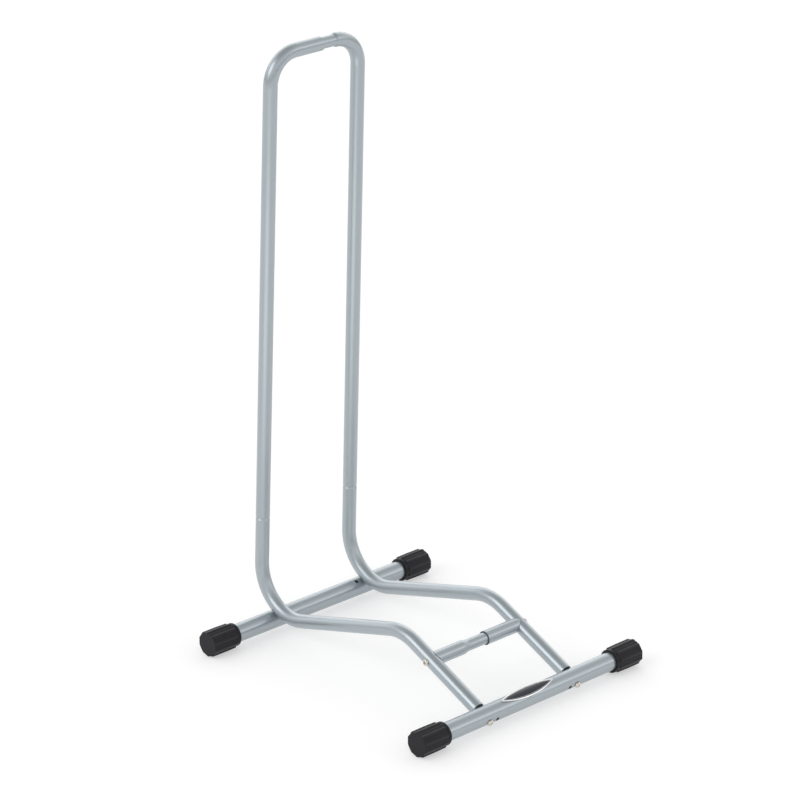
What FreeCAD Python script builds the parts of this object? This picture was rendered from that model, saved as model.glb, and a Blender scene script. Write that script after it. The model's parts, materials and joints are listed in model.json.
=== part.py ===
import FreeCAD, Part
import os
from math import cos, degrees, radians, sin, sqrt, tan
from FreeCAD import Placement, Rotation, Vector

# Floor rack that holds a bicycle by one wheel.
#
# Two bent side frames stand on two foot tubes.  Each side frame is a lower tube, which runs from
# the front foot up over a crest and back down to a bend that sits on the rear foot, and an upper
# tube, which pushes onto the lower one and turns over at the top.  The two upper tubes telescope
# into each other there, and a two-part crossbar telescopes between the legs, so that the frames
# can be set closer together once their screws are moved to the spare holes in the feet.
#
# Millimetres.  X runs along the foot tubes, Y runs from the front foot to the rear one, Z is up.
# The wheel comes in from the front, -Y.  The origin is on the floor, under the middle of the whole.

os.makedirs("parts", exist_ok=True)

# ---------------------------------------------------------------- driving sizes
# Layout
FOOT_SPACING = 400.0          # between the axes of the two foot tubes
FRAME_SPACING = 159.0         # between the axes of the two side frames, at the feet
FOOT_LENGTH_OVER_CAPS = 394.0
HOOP_HEIGHT = 782.0           # from the foot tubes' axes up to the axis of the hoop's top
HOOP_DRAW_IN = 4.3            # how far each side frame has leaned in at that height
UPRIGHT_TILT = 2.2            # degrees that the uprights lean forward
RUN_SLOPE = 15.6              # degrees that the lower tube rises from the rear bend to the crest
LEG_SLOPE = 24.8              # degrees that the leg falls from the crest to the front foot
CONTACT_ANGLE = 27.6          # degrees forward of straight up where the rear bend sits on its foot

# Side frame tube
SIDE_TUBE_RADIUS = 9.5
SIDE_TUBE_WALL = 1.5
REAR_BEND_RADIUS = 62.0
CREST_BEND_RADIUS = 66.0
HOOP_BEND_RADIUS = 40.5

# Swaged ends, which slide into the bore of the same tube
SLIDING_CLEARANCE = 0.15      # radial
SWAGED_WALL = 1.2
SWAGE_TAPER = 3.5
SWAGE_LEAD_IN = 1.0
UPRIGHT_JOINT_HEIGHT = 140.0  # shoulder of the lower tube above the foot tubes' axes
UPRIGHT_SPIGOT = 38.0
HOOP_SPIGOT_SHOWN = 25.0      # from the mouth of the left tube to the right tube's shoulder
HOOP_SHOULDER_FROM_BEND = 1.5

# Foot tubes
FOOT_TUBE_RADIUS = 12.5
FOOT_TUBE_WALL = 1.5
SPARE_HOLE_PITCH = 13.5       # from each foot screw inwards to the spare hole

# Crossbar
CROSSBAR_FROM_FRONT_FOOT = 106.0   # along the leg, from the front foot's axis
CROSSBAR_SHOULDER_X = -17.0
CROSSBAR_SLEEVE_MOUTH_X = 16.0
CROSSBAR_TIP_CLEARANCE = 1.0       # from the spigot to the plug, in the narrow setting

# Rubber foot caps
CAP_LENGTH = 46.5
CAP_END_WALL = 3.5
CAP_END_RADIUS = 17.8         # over the ribs, so also the height of the foot tubes' axes
CAP_COLLAR_WALL = 3.3
CAP_COLLAR_LENGTH = 5.0
CAP_COLLAR_ROUND = 0.8
CAP_RIBS = 10
CAP_RIB_RADIUS = 2.5          # of the round that a rib's crest follows
CAP_RIB_FLATS = 5             # across one crest, so that the middle one lies on the floor
CAP_RIB_HALF_ANGLE = 68.0     # degrees of that round on each side of the crest
CAP_RIB_START_DROP = 0.4      # how much lower the ribs are beside the collar
CAP_END_ROUND = 2.2
CAP_MOUTH_CHAMFER = 0.9

# Badge plate
BADGE_LENGTH = 92.0
BADGE_WIDTH = 18.0
BADGE_CENTRE_X = -6.0
BADGE_ANGLE = 70.0            # degrees up from straight forward
BADGE_PAD_THICKNESS = 0.5
BADGE_PAD_MARGIN = 0.8
BADGE_PLATE_THICKNESS = 1.0
BADGE_RIM_HEIGHT = 0.45
BADGE_RIM_WIDTH = 1.5

# Pan-head screws and what they screw into
SCREW_RADIUS = 2.5
SCREW_HOLE_RADIUS = 2.75
HEAD_RADIUS = 4.75
HEAD_HEIGHT = 3.4
HEAD_EDGE = 1.6               # height of the head's cylindrical edge
HEAD_FLAT_RADIUS = 3.1        # of the flat on top, around the recess
SCREW_POINT = 0.6             # chamfer at the tip
RECESS_WIDTH = 1.25
RECESS_SPAN = 5.2
RECESS_DEPTH = 1.9
FRONT_SCREW_LENGTH = 40.0
REAR_SCREW_LENGTH = 35.0
CROSSBAR_SCREW_LENGTH = 30.0
THREAD_CLEARANCE = 0.05       # radial, for threads that are not cut
LEG_PLUG_LENGTH = 18.0
CROSSBAR_PLUG_LENGTH = 10.0
RIVET_NUT_RADIUS = 3.5
RIVET_NUT_LENGTH = 11.0
RIVET_NUT_BULGE_RADIUS = 4.7
RIVET_NUT_BULGE_LENGTH = 3.0
RIVET_NUT_RECESS = 0.2

SEAT_GAP = 0.05               # between pieces that rest on or fit in each other
OVERCUT = 1.0                 # how far a cutting shape runs past what it cuts

# ---------------------------------------------------------------- sizes that follow
SIDE_BORE_RADIUS = SIDE_TUBE_RADIUS - SIDE_TUBE_WALL
SPIGOT_RADIUS = SIDE_BORE_RADIUS - SLIDING_CLEARANCE
SPIGOT_BORE_RADIUS = SPIGOT_RADIUS - SWAGED_WALL
FOOT_BORE_RADIUS = FOOT_TUBE_RADIUS - FOOT_TUBE_WALL
FOOT_TUBE_LENGTH = FOOT_LENGTH_OVER_CAPS - 2 * (CAP_END_WALL + SEAT_GAP)
FRAME_X = FRAME_SPACING / 2              # at the height of the foot tubes' axes
FRAME_LEAN = HOOP_DRAW_IN / HOOP_HEIGHT
THREAD_RADIUS = SCREW_RADIUS + THREAD_CLEARANCE

SIDES = {"left": -1, "right": 1}
X_AXIS = Vector(1, 0, 0)
Z_AXIS = Vector(0, 0, 1)


def turn(angle):
    """Unit vector in the side plane, at an angle in degrees up from straight forward."""
    return Vector(0, -cos(radians(angle)), sin(radians(angle)))


def at(x, point):
    """A point of the side plane, moved to a given x."""
    return Vector(x, point.y, point.z)


def on_frame(side, point):
    """A point of the side plane, moved into the leaning plane of one side frame."""
    return at(side * (FRAME_X - FRAME_LEAN * (point.z - REAR_FOOT.z)), point)


def frame_way(side, way):
    """A direction of the side plane, turned into the leaning plane of one side frame."""
    return Vector(-side * FRAME_LEAN * way.z, way.y, way.z).normalize()


def meeting_point(first, first_way, second, second_way):
    """Where two lines of the side plane cross."""
    gap = second - first
    across = first_way.y * second_way.z - first_way.z * second_way.y
    return first + first_way * ((gap.y * second_way.z - gap.z * second_way.y) / across)


def rib_corners():
    """Corners of the ribbed outline at a cap's outer end, with one rib towards +X."""
    step = 2 * CAP_RIB_HALF_ANGLE / CAP_RIB_FLATS
    crest_centre = CAP_END_RADIUS - CAP_RIB_RADIUS * cos(radians(step / 2))
    corners = []
    for rib in range(CAP_RIBS):
        turned_by = Rotation(Z_AXIS, 360 / CAP_RIBS * rib)
        for index in range(CAP_RIB_FLATS + 1):
            angle = radians(index * step - CAP_RIB_HALF_ANGLE)
            crest = Vector(crest_centre + CAP_RIB_RADIUS * cos(angle), CAP_RIB_RADIUS * sin(angle), 0)
            corners.append(turned_by.multVec(crest))
    return corners


# The side frame's centre line, laid out around the rear foot's axis.  The bend sits on the rear
# foot tube, the upright and the run leave the bend along its tangents, and the leg points at the
# front foot's axis.
CONTACT_WAY = turn(90 - CONTACT_ANGLE)
UPRIGHT_WAY = turn(90 - UPRIGHT_TILT)
RUN_WAY = turn(RUN_SLOPE)
LEG_WAY = turn(180 - LEG_SLOPE)          # from the front foot up to the crest

REACH_TO_BEND_AXIS = FOOT_TUBE_RADIUS + SEAT_GAP + SIDE_TUBE_RADIUS
BEND_CENTRE = CONTACT_WAY * (REACH_TO_BEND_AXIS + REAR_BEND_RADIUS)
UPRIGHT_TANGENT = BEND_CENTRE + turn(180 - UPRIGHT_TILT) * REAR_BEND_RADIUS
RUN_TANGENT = BEND_CENTRE + turn(RUN_SLOPE - 90) * REAR_BEND_RADIUS

# Height and place of the whole, so that the ribs stand on the floor and the origin is central
CAP_FRONT_Y = -FOOT_SPACING - max(corner.y for corner in rib_corners())
BEND_REAR_Y = BEND_CENTRE.y + REAR_BEND_RADIUS + SIDE_TUBE_RADIUS
REAR_FOOT = Vector(0, -(CAP_FRONT_Y + BEND_REAR_Y) / 2, CAP_END_RADIUS)
FRONT_FOOT = REAR_FOOT - Vector(0, FOOT_SPACING, 0)

REAR_CORNER = REAR_FOOT + meeting_point(UPRIGHT_TANGENT, UPRIGHT_WAY, RUN_TANGENT, RUN_WAY)
CREST_CORNER = meeting_point(REAR_CORNER, RUN_WAY, FRONT_FOOT, LEG_WAY)
LEG_END = FRONT_FOOT + LEG_WAY * (FOOT_TUBE_RADIUS + SEAT_GAP)
CROSSBAR_CENTRE = FRONT_FOOT + LEG_WAY * CROSSBAR_FROM_FRONT_FOOT


def on_upright(height):
    """Point of the upright's axis at a height above the foot tubes' axes."""
    rise = REAR_FOOT.z + height - REAR_CORNER.z
    return REAR_CORNER + UPRIGHT_WAY * (rise / UPRIGHT_WAY.z)


UPRIGHT_SHOULDER = on_upright(UPRIGHT_JOINT_HEIGHT)
HOOP_CORNER = on_upright(HOOP_HEIGHT)

# The bore of an upper tube comes to rest where the taper below it has grown to the bore's size
TAPER_SEAT = SWAGE_TAPER * SIDE_TUBE_WALL / (SIDE_TUBE_RADIUS - SPIGOT_RADIUS)
UPPER_TUBE_START = UPRIGHT_SHOULDER + UPRIGHT_WAY * (TAPER_SEAT + SEAT_GAP)

# The hoop's top.  The spigot fills half of the straight stretch of its socket, and the other half
# stays free for the narrow setting.
HOOP_BEND_REACH = HOOP_BEND_RADIUS / tan(frame_way(1, UPRIGHT_WAY).getAngle(X_AXIS) / 2)
HOOP_BEND_END_X = FRAME_X - HOOP_DRAW_IN - HOOP_BEND_REACH
HOOP_SHOULDER_X = HOOP_BEND_END_X - HOOP_SHOULDER_FROM_BEND
HOOP_MOUTH_X = HOOP_SHOULDER_X - HOOP_SPIGOT_SHOWN
HOOP_SPIGOT_HELD = (HOOP_MOUTH_X + HOOP_BEND_END_X) / 2

# The crossbar.  In the narrow setting its spigot reaches almost to the plug in the sleeve's far end.
CROSSBAR_END_X = on_frame(1, CROSSBAR_CENTRE).x - SIDE_TUBE_RADIUS - SEAT_GAP
SLEEVE_ROOM = CROSSBAR_END_X - CROSSBAR_SLEEVE_MOUTH_X - CROSSBAR_PLUG_LENGTH
CROSSBAR_SPIGOT_HELD = SLEEVE_ROOM - 2 * SPARE_HOLE_PITCH - CROSSBAR_TIP_CLEARANCE


def rod(start, way, length, radius):
    """Plain round rod."""
    return Part.makeCylinder(radius, length, start, way)


def bent_rod(corners, radii, radius):
    """Round rod of straight runs and tangent bends, one bend for each inner corner."""
    pieces = []
    start = corners[0]
    for before, corner, after, bend_radius in zip(corners, corners[1:], corners[2:], radii):
        back = (before - corner).normalize()
        ahead = (after - corner).normalize()
        half_angle = back.getAngle(ahead) / 2
        reach = bend_radius / tan(half_angle)
        bend_start = corner + back * reach
        centre = corner + (back + ahead).normalize() * (bend_radius / sin(half_angle))
        section = Part.Face(Part.Wire([Part.Circle(bend_start, -back, radius).toShape()]))
        pieces.append(rod(start, -back, start.distanceToPoint(bend_start), radius))
        pieces.append(section.revolve(centre, ahead.cross(back), 180 - degrees(2 * half_angle)))
        start = corner + ahead * reach
    way = (corners[-1] - start).normalize()
    pieces.append(rod(start, way, start.distanceToPoint(corners[-1]), radius))
    return pieces[0].fuse(pieces[1:])


def longer(corners, at_start, at_end):
    """The same corners, with the first and last moved outwards."""
    first = corners[0] + (corners[0] - corners[1]).normalize() * at_start
    last = corners[-1] + (corners[-1] - corners[-2]).normalize() * at_end
    return [first] + corners[1:-1] + [last]


def turned(origin, way, profile):
    """Solid of revolution from (distance along, radius) pairs, from the origin along a way."""
    outline = [Vector(0, 0, profile[0][0])]
    outline += [Vector(radius, 0, along) for along, radius in profile if radius > 0]
    outline += [Vector(0, 0, profile[-1][0]), outline[0]]
    solid = Part.Face(Part.makePolygon(outline)).revolve(Vector(), Z_AXIS, 360)
    solid.Placement = Placement(origin, Rotation(Z_AXIS, way))
    return solid


def stepped_frustum(outlines):
    """Solid with flat faces between flat outlines that differ only in scale and height."""
    faces = [Part.Face(Part.makePolygon(outline + outline[:1])) for outline in (outlines[0], outlines[-1])]
    for lower, upper in zip(outlines, outlines[1:]):
        for index in range(len(lower)):
            quad = [lower[index - 1], lower[index], upper[index], upper[index - 1]]
            faces.append(Part.Face(Part.makePolygon(quad + quad[:1])))
    shell = Part.Shell(faces)
    shell.sewShape()
    return Part.Solid(shell)


def swaged_rod(shoulder, way, held):
    """Outer shape of a swaged end: a taper from the full tube and a spigot with a lead-in."""
    tip = SWAGE_TAPER + held
    profile = [(0, SIDE_TUBE_RADIUS), (SWAGE_TAPER, SPIGOT_RADIUS), (tip - SWAGE_LEAD_IN, SPIGOT_RADIUS),
               (tip, SPIGOT_RADIUS - SWAGE_LEAD_IN / 2)]
    return turned(shoulder, way, profile)


def swaged_bore(shoulder, way, held):
    """Bore of a swaged end, which follows the outer shape in."""
    tip = SWAGE_TAPER + held + OVERCUT
    profile = [(0, SIDE_BORE_RADIUS), (SWAGE_TAPER, SPIGOT_BORE_RADIUS), (tip, SPIGOT_BORE_RADIUS)]
    return turned(shoulder, way, profile)


def foot_screw_holes(foot, way):
    """Cutters through both walls of a foot tube, for the screws in use and the spare pairs."""
    half = FOOT_TUBE_RADIUS + OVERCUT
    places = [side * x for side in SIDES.values() for x in (FRAME_X, FRAME_X - SPARE_HOLE_PITCH)]
    return [rod(at(x, foot) - way * half, way, 2 * half, SCREW_HOLE_RADIUS) for x in places]


# ---------------------------------------------------------------- the pieces
def upper_frame_left():
    """Upright and half of the hoop's top; its open end is the socket for the other half."""
    corners = [on_frame(-1, UPPER_TUBE_START), on_frame(-1, HOOP_CORNER), at(HOOP_MOUTH_X, HOOP_CORNER)]
    outside = bent_rod(corners, [HOOP_BEND_RADIUS], SIDE_TUBE_RADIUS)
    bore = bent_rod(longer(corners, OVERCUT, OVERCUT), [HOOP_BEND_RADIUS], SIDE_BORE_RADIUS)
    return outside.cut(bore)


def upper_frame_right():
    """Upright and the other half of the hoop's top, swaged down to slide into the left half."""
    shoulder = at(HOOP_SHOULDER_X, HOOP_CORNER)
    held = HOOP_SPIGOT_SHOWN + HOOP_SPIGOT_HELD
    corners = [on_frame(1, UPPER_TUBE_START), on_frame(1, HOOP_CORNER), shoulder]
    outside = bent_rod(corners, [HOOP_BEND_RADIUS], SIDE_TUBE_RADIUS)
    outside = outside.fuse(swaged_rod(shoulder, -X_AXIS, held))
    bore = bent_rod(longer(corners, OVERCUT, 0), [HOOP_BEND_RADIUS], SIDE_BORE_RADIUS)
    bore = bore.fuse(swaged_bore(shoulder, -X_AXIS, held))
    return outside.cut(bore)


def lower_frame(side):
    """Leg, crest, run and rear bend in one tube, with a spigot on top for the upper tube."""
    corners = [on_frame(side, point) for point in (UPRIGHT_SHOULDER, REAR_CORNER, CREST_CORNER, LEG_END)]
    radii = [REAR_BEND_RADIUS, CREST_BEND_RADIUS]
    upright_way = frame_way(side, UPRIGHT_WAY)
    outside = bent_rod(corners, radii, SIDE_TUBE_RADIUS)
    outside = outside.fuse(swaged_rod(corners[0], upright_way, UPRIGHT_SPIGOT))
    bore = bent_rod(longer(corners, 0, OVERCUT), radii, SIDE_BORE_RADIUS)
    bore = bore.fuse(swaged_bore(corners[0], upright_way, UPRIGHT_SPIGOT))
    half = SIDE_TUBE_RADIUS + OVERCUT
    hole_start = on_frame(side, CROSSBAR_CENTRE) - X_AXIS * half
    crossbar_hole = rod(hole_start, X_AXIS, 2 * half, SCREW_HOLE_RADIUS)
    nut_hole = rod(on_frame(side, REAR_FOOT), frame_way(side, CONTACT_WAY), REACH_TO_BEND_AXIS,
                   RIVET_NUT_RADIUS + SEAT_GAP)
    return outside.cut(bore).cut([crossbar_hole, nut_hole])


def foot_tube(foot, screw_way):
    """Straight foot tube with four pairs of screw holes."""
    start = at(-FOOT_TUBE_LENGTH / 2, foot)
    outside = rod(start, X_AXIS, FOOT_TUBE_LENGTH, FOOT_TUBE_RADIUS)
    bore = rod(start - X_AXIS * OVERCUT, X_AXIS, FOOT_TUBE_LENGTH + 2 * OVERCUT, FOOT_BORE_RADIUS)
    return outside.cut([bore] + foot_screw_holes(foot, screw_way))


def crossbar_inner():
    """Left half of the crossbar, swaged down to slide into the sleeve."""
    start = at(-CROSSBAR_END_X, CROSSBAR_CENTRE)
    shoulder = at(CROSSBAR_SHOULDER_X, CROSSBAR_CENTRE)
    length = shoulder.x - start.x
    held = CROSSBAR_SLEEVE_MOUTH_X - CROSSBAR_SHOULDER_X - SWAGE_TAPER + CROSSBAR_SPIGOT_HELD
    outside = rod(start, X_AXIS, length, SIDE_TUBE_RADIUS).fuse(swaged_rod(shoulder, X_AXIS, held))
    bore = rod(start - X_AXIS * OVERCUT, X_AXIS, length + OVERCUT, SIDE_BORE_RADIUS)
    return outside.cut(bore.fuse(swaged_bore(shoulder, X_AXIS, held)))


def crossbar_sleeve():
    """Right half of the crossbar, a plain tube."""
    start = at(CROSSBAR_SLEEVE_MOUTH_X, CROSSBAR_CENTRE)
    length = CROSSBAR_END_X - CROSSBAR_SLEEVE_MOUTH_X
    bore = rod(start - X_AXIS * OVERCUT, X_AXIS, length + 2 * OVERCUT, SIDE_BORE_RADIUS)
    return rod(start, X_AXIS, length, SIDE_TUBE_RADIUS).cut(bore)


def cap_envelope():
    """Rod that is wider than the ribs and closes round the cap's outer end in two steps."""
    inset = CAP_END_ROUND * (1 - cos(radians(45)))
    wide = CAP_END_RADIUS + OVERCUT
    narrows_at = CAP_LENGTH - inset - (inset + OVERCUT) / tan(radians(22.5))
    profile = [(0, wide), (narrows_at, wide), (CAP_LENGTH - inset, CAP_END_RADIUS - inset),
               (CAP_LENGTH, CAP_END_RADIUS - CAP_END_ROUND)]
    return turned(Vector(), Z_AXIS, profile)


def foot_cap(foot, side):
    """Rubber cap: a smooth collar at the mouth, then ribs that stand over it and end in a round."""
    bore_radius = FOOT_TUBE_RADIUS + SEAT_GAP
    collar_radius = bore_radius + CAP_COLLAR_WALL
    scale_at_collar = 1 - CAP_RIB_START_DROP / CAP_END_RADIUS
    sections = [(CAP_COLLAR_LENGTH, scale_at_collar), (CAP_LENGTH / 2, 1), (CAP_LENGTH, 1)]
    outlines = [[corner * scale + Z_AXIS * along for corner in rib_corners()] for along, scale in sections]
    ribbed = stepped_frustum(outlines).common(cap_envelope())

    collar = turned(Vector(), Z_AXIS, [(0, collar_radius - CAP_COLLAR_ROUND),
                                       (CAP_COLLAR_ROUND, collar_radius),
                                       (CAP_COLLAR_LENGTH, collar_radius)])
    bore = turned(Vector(), Z_AXIS, [(0, bore_radius + CAP_MOUTH_CHAMFER), (CAP_MOUTH_CHAMFER, bore_radius),
                                     (CAP_LENGTH - CAP_END_WALL, bore_radius)])
    cap = ribbed.fuse(collar).cut(bore)
    mouth_x = side * (FOOT_LENGTH_OVER_CAPS / 2 - CAP_LENGTH)
    # The rib towards the local X axis points at the floor once the cap lies down
    cap.Placement = Placement(at(mouth_x, foot), Rotation(Vector(0, 1, 0), side * 90))
    return cap


def pointed_oval(length, width, way, centre):
    """Face of two arcs that meet in points, lying square to a way of the side plane."""
    across = X_AXIS.cross(way) * (width / 2)
    tips = (centre - X_AXIS * (length / 2), centre + X_AXIS * (length / 2))
    arcs = [Part.Arc(tips[0], centre + across, tips[1]), Part.Arc(tips[1], centre - across, tips[0])]
    return Part.Face(Part.Wire([arc.toShape() for arc in arcs]))


def wrapped_plate(inner_radius, thickness, margin):
    """Pointed oval of even thickness, bent round the front foot tube."""
    way = turn(BADGE_ANGLE)
    centre = at(BADGE_CENTRE_X, FRONT_FOOT)
    length = BADGE_LENGTH - 2 * margin * BADGE_LENGTH / BADGE_WIDTH
    outer_radius = inner_radius + thickness
    column = pointed_oval(length, BADGE_WIDTH - 2 * margin, way, centre).extrude(way * 2 * outer_radius)
    start = centre - X_AXIS * BADGE_LENGTH
    shell = rod(start, X_AXIS, 2 * BADGE_LENGTH, outer_radius)
    return column.common(shell.cut(rod(start, X_AXIS, 2 * BADGE_LENGTH, inner_radius)))


PAD_INNER_RADIUS = FOOT_TUBE_RADIUS + SEAT_GAP
PLATE_INNER_RADIUS = PAD_INNER_RADIUS + BADGE_PAD_THICKNESS + SEAT_GAP


def badge_plate():
    """Bare plate with a raised rim round a sunk field."""
    plate = wrapped_plate(PLATE_INNER_RADIUS, BADGE_PLATE_THICKNESS + BADGE_RIM_HEIGHT, 0)
    field = wrapped_plate(PLATE_INNER_RADIUS + BADGE_PLATE_THICKNESS, BADGE_RIM_HEIGHT + OVERCUT,
                          BADGE_RIM_WIDTH)
    return plate.cut(field)


def badge_pad():
    """Adhesive pad under the badge plate."""
    return wrapped_plate(PAD_INNER_RADIUS, BADGE_PAD_THICKNESS, BADGE_PAD_MARGIN)


def pan_head_screw(seat, way, length):
    """Screw whose head stands behind its seat and whose shank runs along a way from it."""
    profile = [(-HEAD_HEIGHT, HEAD_FLAT_RADIUS), (-HEAD_EDGE, HEAD_RADIUS), (0, HEAD_RADIUS),
               (0, SCREW_RADIUS), (length - SCREW_POINT, SCREW_RADIUS), (length, SCREW_RADIUS - SCREW_POINT)]
    screw = turned(Vector(), Z_AXIS, profile)
    corner = Vector(-RECESS_SPAN / 2, -RECESS_WIDTH / 2, -HEAD_HEIGHT - OVERCUT)
    slot = Part.makeBox(RECESS_SPAN, RECESS_WIDTH, RECESS_DEPTH + OVERCUT, corner)
    other_slot = slot.copy()
    other_slot.rotate(Vector(), Z_AXIS, 90)
    screw = screw.cut([slot, other_slot])
    screw.Placement = Placement(seat, Rotation(Z_AXIS, way))
    return screw


def threaded_plug(start, way, length):
    """Plug pressed into the end of a side tube, with a threaded hole right through."""
    body = rod(start, way, length, SIDE_BORE_RADIUS - SEAT_GAP)
    return body.cut(rod(start - way * OVERCUT, way, length + 2 * OVERCUT, THREAD_RADIUS))


def rivet_nut(side):
    """Threaded sleeve set flush in the rear bend, with the bulge that holds it inside the wall."""
    crown = FOOT_TUBE_RADIUS + SEAT_GAP + RIVET_NUT_RECESS
    bulge_fits = sqrt(SIDE_BORE_RADIUS ** 2 - RIVET_NUT_BULGE_RADIUS ** 2)
    bulge = REACH_TO_BEND_AXIS - bulge_fits + SEAT_GAP - crown
    profile = [(0, RIVET_NUT_RADIUS), (bulge, RIVET_NUT_RADIUS), (bulge, RIVET_NUT_BULGE_RADIUS),
               (bulge + RIVET_NUT_BULGE_LENGTH / 2, RIVET_NUT_BULGE_RADIUS),
               (bulge + RIVET_NUT_BULGE_LENGTH, RIVET_NUT_RADIUS), (RIVET_NUT_LENGTH, RIVET_NUT_RADIUS)]
    way = frame_way(side, CONTACT_WAY)
    start = on_frame(side, REAR_FOOT) + way * crown
    thread = rod(start - way * OVERCUT, way, RIVET_NUT_LENGTH + 2 * OVERCUT, THREAD_RADIUS)
    return turned(start, way, profile).cut(thread)


# ---------------------------------------------------------------- every node
def fittings(name, side):
    """Screws and what they screw into, for the frame on one side."""
    head_seat = FOOT_TUBE_RADIUS + SEAT_GAP
    leg_way = frame_way(side, LEG_WAY)
    contact_way = frame_way(side, CONTACT_WAY)
    inwards = X_AXIS * -side
    front_seat = on_frame(side, FRONT_FOOT) - leg_way * head_seat
    rear_seat = on_frame(side, REAR_FOOT) - contact_way * head_seat
    crossbar_seat = on_frame(side, CROSSBAR_CENTRE) - inwards * (SIDE_TUBE_RADIUS + SEAT_GAP)
    crossbar_end = at(side * CROSSBAR_END_X, CROSSBAR_CENTRE)
    return {
        "front_foot_screw_" + name: pan_head_screw(front_seat, leg_way, FRONT_SCREW_LENGTH),
        "rear_foot_screw_" + name: pan_head_screw(rear_seat, contact_way, REAR_SCREW_LENGTH),
        "crossbar_screw_" + name: pan_head_screw(crossbar_seat, inwards, CROSSBAR_SCREW_LENGTH),
        "leg_plug_" + name: threaded_plug(on_frame(side, LEG_END), leg_way, LEG_PLUG_LENGTH),
        "crossbar_plug_" + name: threaded_plug(crossbar_end, inwards, CROSSBAR_PLUG_LENGTH),
        "rear_rivet_nut_" + name: rivet_nut(side),
    }


nodes = {
    "upper_frame_left": upper_frame_left(),
    "upper_frame_right": upper_frame_right(),
    "front_foot_tube": foot_tube(FRONT_FOOT, LEG_WAY),
    "rear_foot_tube": foot_tube(REAR_FOOT, CONTACT_WAY),
    "crossbar_inner": crossbar_inner(),
    "crossbar_sleeve": crossbar_sleeve(),
    "badge_plate": badge_plate(),
    "badge_pad": badge_pad(),
}
for side_name, side_sign in SIDES.items():
    nodes["lower_frame_" + side_name] = lower_frame(side_sign)
    nodes["foot_cap_front_" + side_name] = foot_cap(FRONT_FOOT, side_sign)
    nodes["foot_cap_rear_" + side_name] = foot_cap(REAR_FOOT, side_sign)
    nodes.update(fittings(side_name, side_sign))

for node_name, shape in nodes.items():
    solid = shape.Solids[0] if len(shape.Solids) == 1 else shape
    solid.exportStep("parts/" + node_name + ".step")
    box = solid.BoundBox
    print(node_name, "solids", len(shape.Solids), "valid", shape.isValid(), "volume", round(shape.Volume),
          "z", round(box.ZMin, 2), round(box.ZMax, 2))
print("foot tube axes at y", round(FRONT_FOOT.y, 3), round(REAR_FOOT.y, 3), "height", REAR_FOOT.z)
print("held in their sockets: hoop", round(HOOP_SPIGOT_HELD, 2), "crossbar", round(CROSSBAR_SPIGOT_HELD, 2))
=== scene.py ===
# %% [markdown]
# # A floor rack that holds a bicycle by one wheel
#
# The real rack is bent and swaged steel tube under a smooth silver powder coat.  It stands on two
# thicker foot tubes with ribbed rubber caps, and the front one carries a wrapped badge plate.
#
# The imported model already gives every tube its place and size, so this script keeps the long tubes
# and only paints them.  The crossbar, the caps, the screws and the badge plate have finer shapes
# than the model needs for its checks, so they are worked out here as surfaces and take the place
# of their plain solids.

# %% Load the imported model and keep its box
import json
import math

import bpy
import numpy as np
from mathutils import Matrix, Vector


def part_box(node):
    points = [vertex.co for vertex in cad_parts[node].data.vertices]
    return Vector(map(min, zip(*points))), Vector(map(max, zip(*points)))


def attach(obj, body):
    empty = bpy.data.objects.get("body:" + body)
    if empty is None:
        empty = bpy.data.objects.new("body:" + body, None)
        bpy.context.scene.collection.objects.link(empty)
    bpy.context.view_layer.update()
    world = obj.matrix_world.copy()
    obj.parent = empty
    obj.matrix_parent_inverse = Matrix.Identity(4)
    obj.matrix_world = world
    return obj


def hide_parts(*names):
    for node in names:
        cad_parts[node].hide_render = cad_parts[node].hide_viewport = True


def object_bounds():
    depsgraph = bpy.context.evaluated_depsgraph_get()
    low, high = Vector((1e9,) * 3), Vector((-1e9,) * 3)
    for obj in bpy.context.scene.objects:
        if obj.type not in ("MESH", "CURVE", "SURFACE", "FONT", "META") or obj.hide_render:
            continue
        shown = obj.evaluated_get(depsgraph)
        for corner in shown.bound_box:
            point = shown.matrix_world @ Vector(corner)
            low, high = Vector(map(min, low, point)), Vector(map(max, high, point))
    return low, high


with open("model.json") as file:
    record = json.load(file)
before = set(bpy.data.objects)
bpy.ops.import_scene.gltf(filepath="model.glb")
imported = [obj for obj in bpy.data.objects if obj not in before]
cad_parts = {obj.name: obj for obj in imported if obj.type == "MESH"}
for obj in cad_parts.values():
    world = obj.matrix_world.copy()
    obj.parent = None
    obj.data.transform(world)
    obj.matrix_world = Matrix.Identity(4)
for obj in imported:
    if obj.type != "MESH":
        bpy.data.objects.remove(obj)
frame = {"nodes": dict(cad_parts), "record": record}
MM = 0.001                         # the model's sizes are thought of in millimetres
cad_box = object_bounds()
print("model box in millimetres:", [[round(v / MM, 1) for v in corner] for corner in cad_box])

# %% [markdown]
# ## The camera
#
# The picture was taken from well above the rack and with a long lens, so the uprights hardly draw
# together.  The place, the turn and the focal length were worked out by matching the centre lines
# of the tubes.  Blender wants a focal length in millimetres of a 36 mm wide sensor, so the length
# in picture widths is turned into that.

# %% Place the camera
CAMERA_PLACE = (-3.0538, -3.1929, 2.1223)
CAMERA_AZIMUTH = -43.451           # degrees, turned about the upright axis
CAMERA_TILT_DOWN = 21.670
FOCAL_IN_PICTURE_WIDTHS = 4.6283
SENSOR_WIDTH = 36.0

camera_data = bpy.data.cameras.new("camera")
camera_data.sensor_width = SENSOR_WIDTH
camera_data.lens = FOCAL_IN_PICTURE_WIDTHS * SENSOR_WIDTH
camera = bpy.data.objects.new("camera", camera_data)
camera.location = CAMERA_PLACE
camera.rotation_euler = (math.radians(90 - CAMERA_TILT_DOWN), 0, math.radians(CAMERA_AZIMUTH))
bpy.context.scene.collection.objects.link(camera)
bpy.context.scene.camera = camera
bpy.context.scene.view_settings.view_transform = "Standard"
print("lens in millimetres:", round(camera_data.lens, 1))

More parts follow.
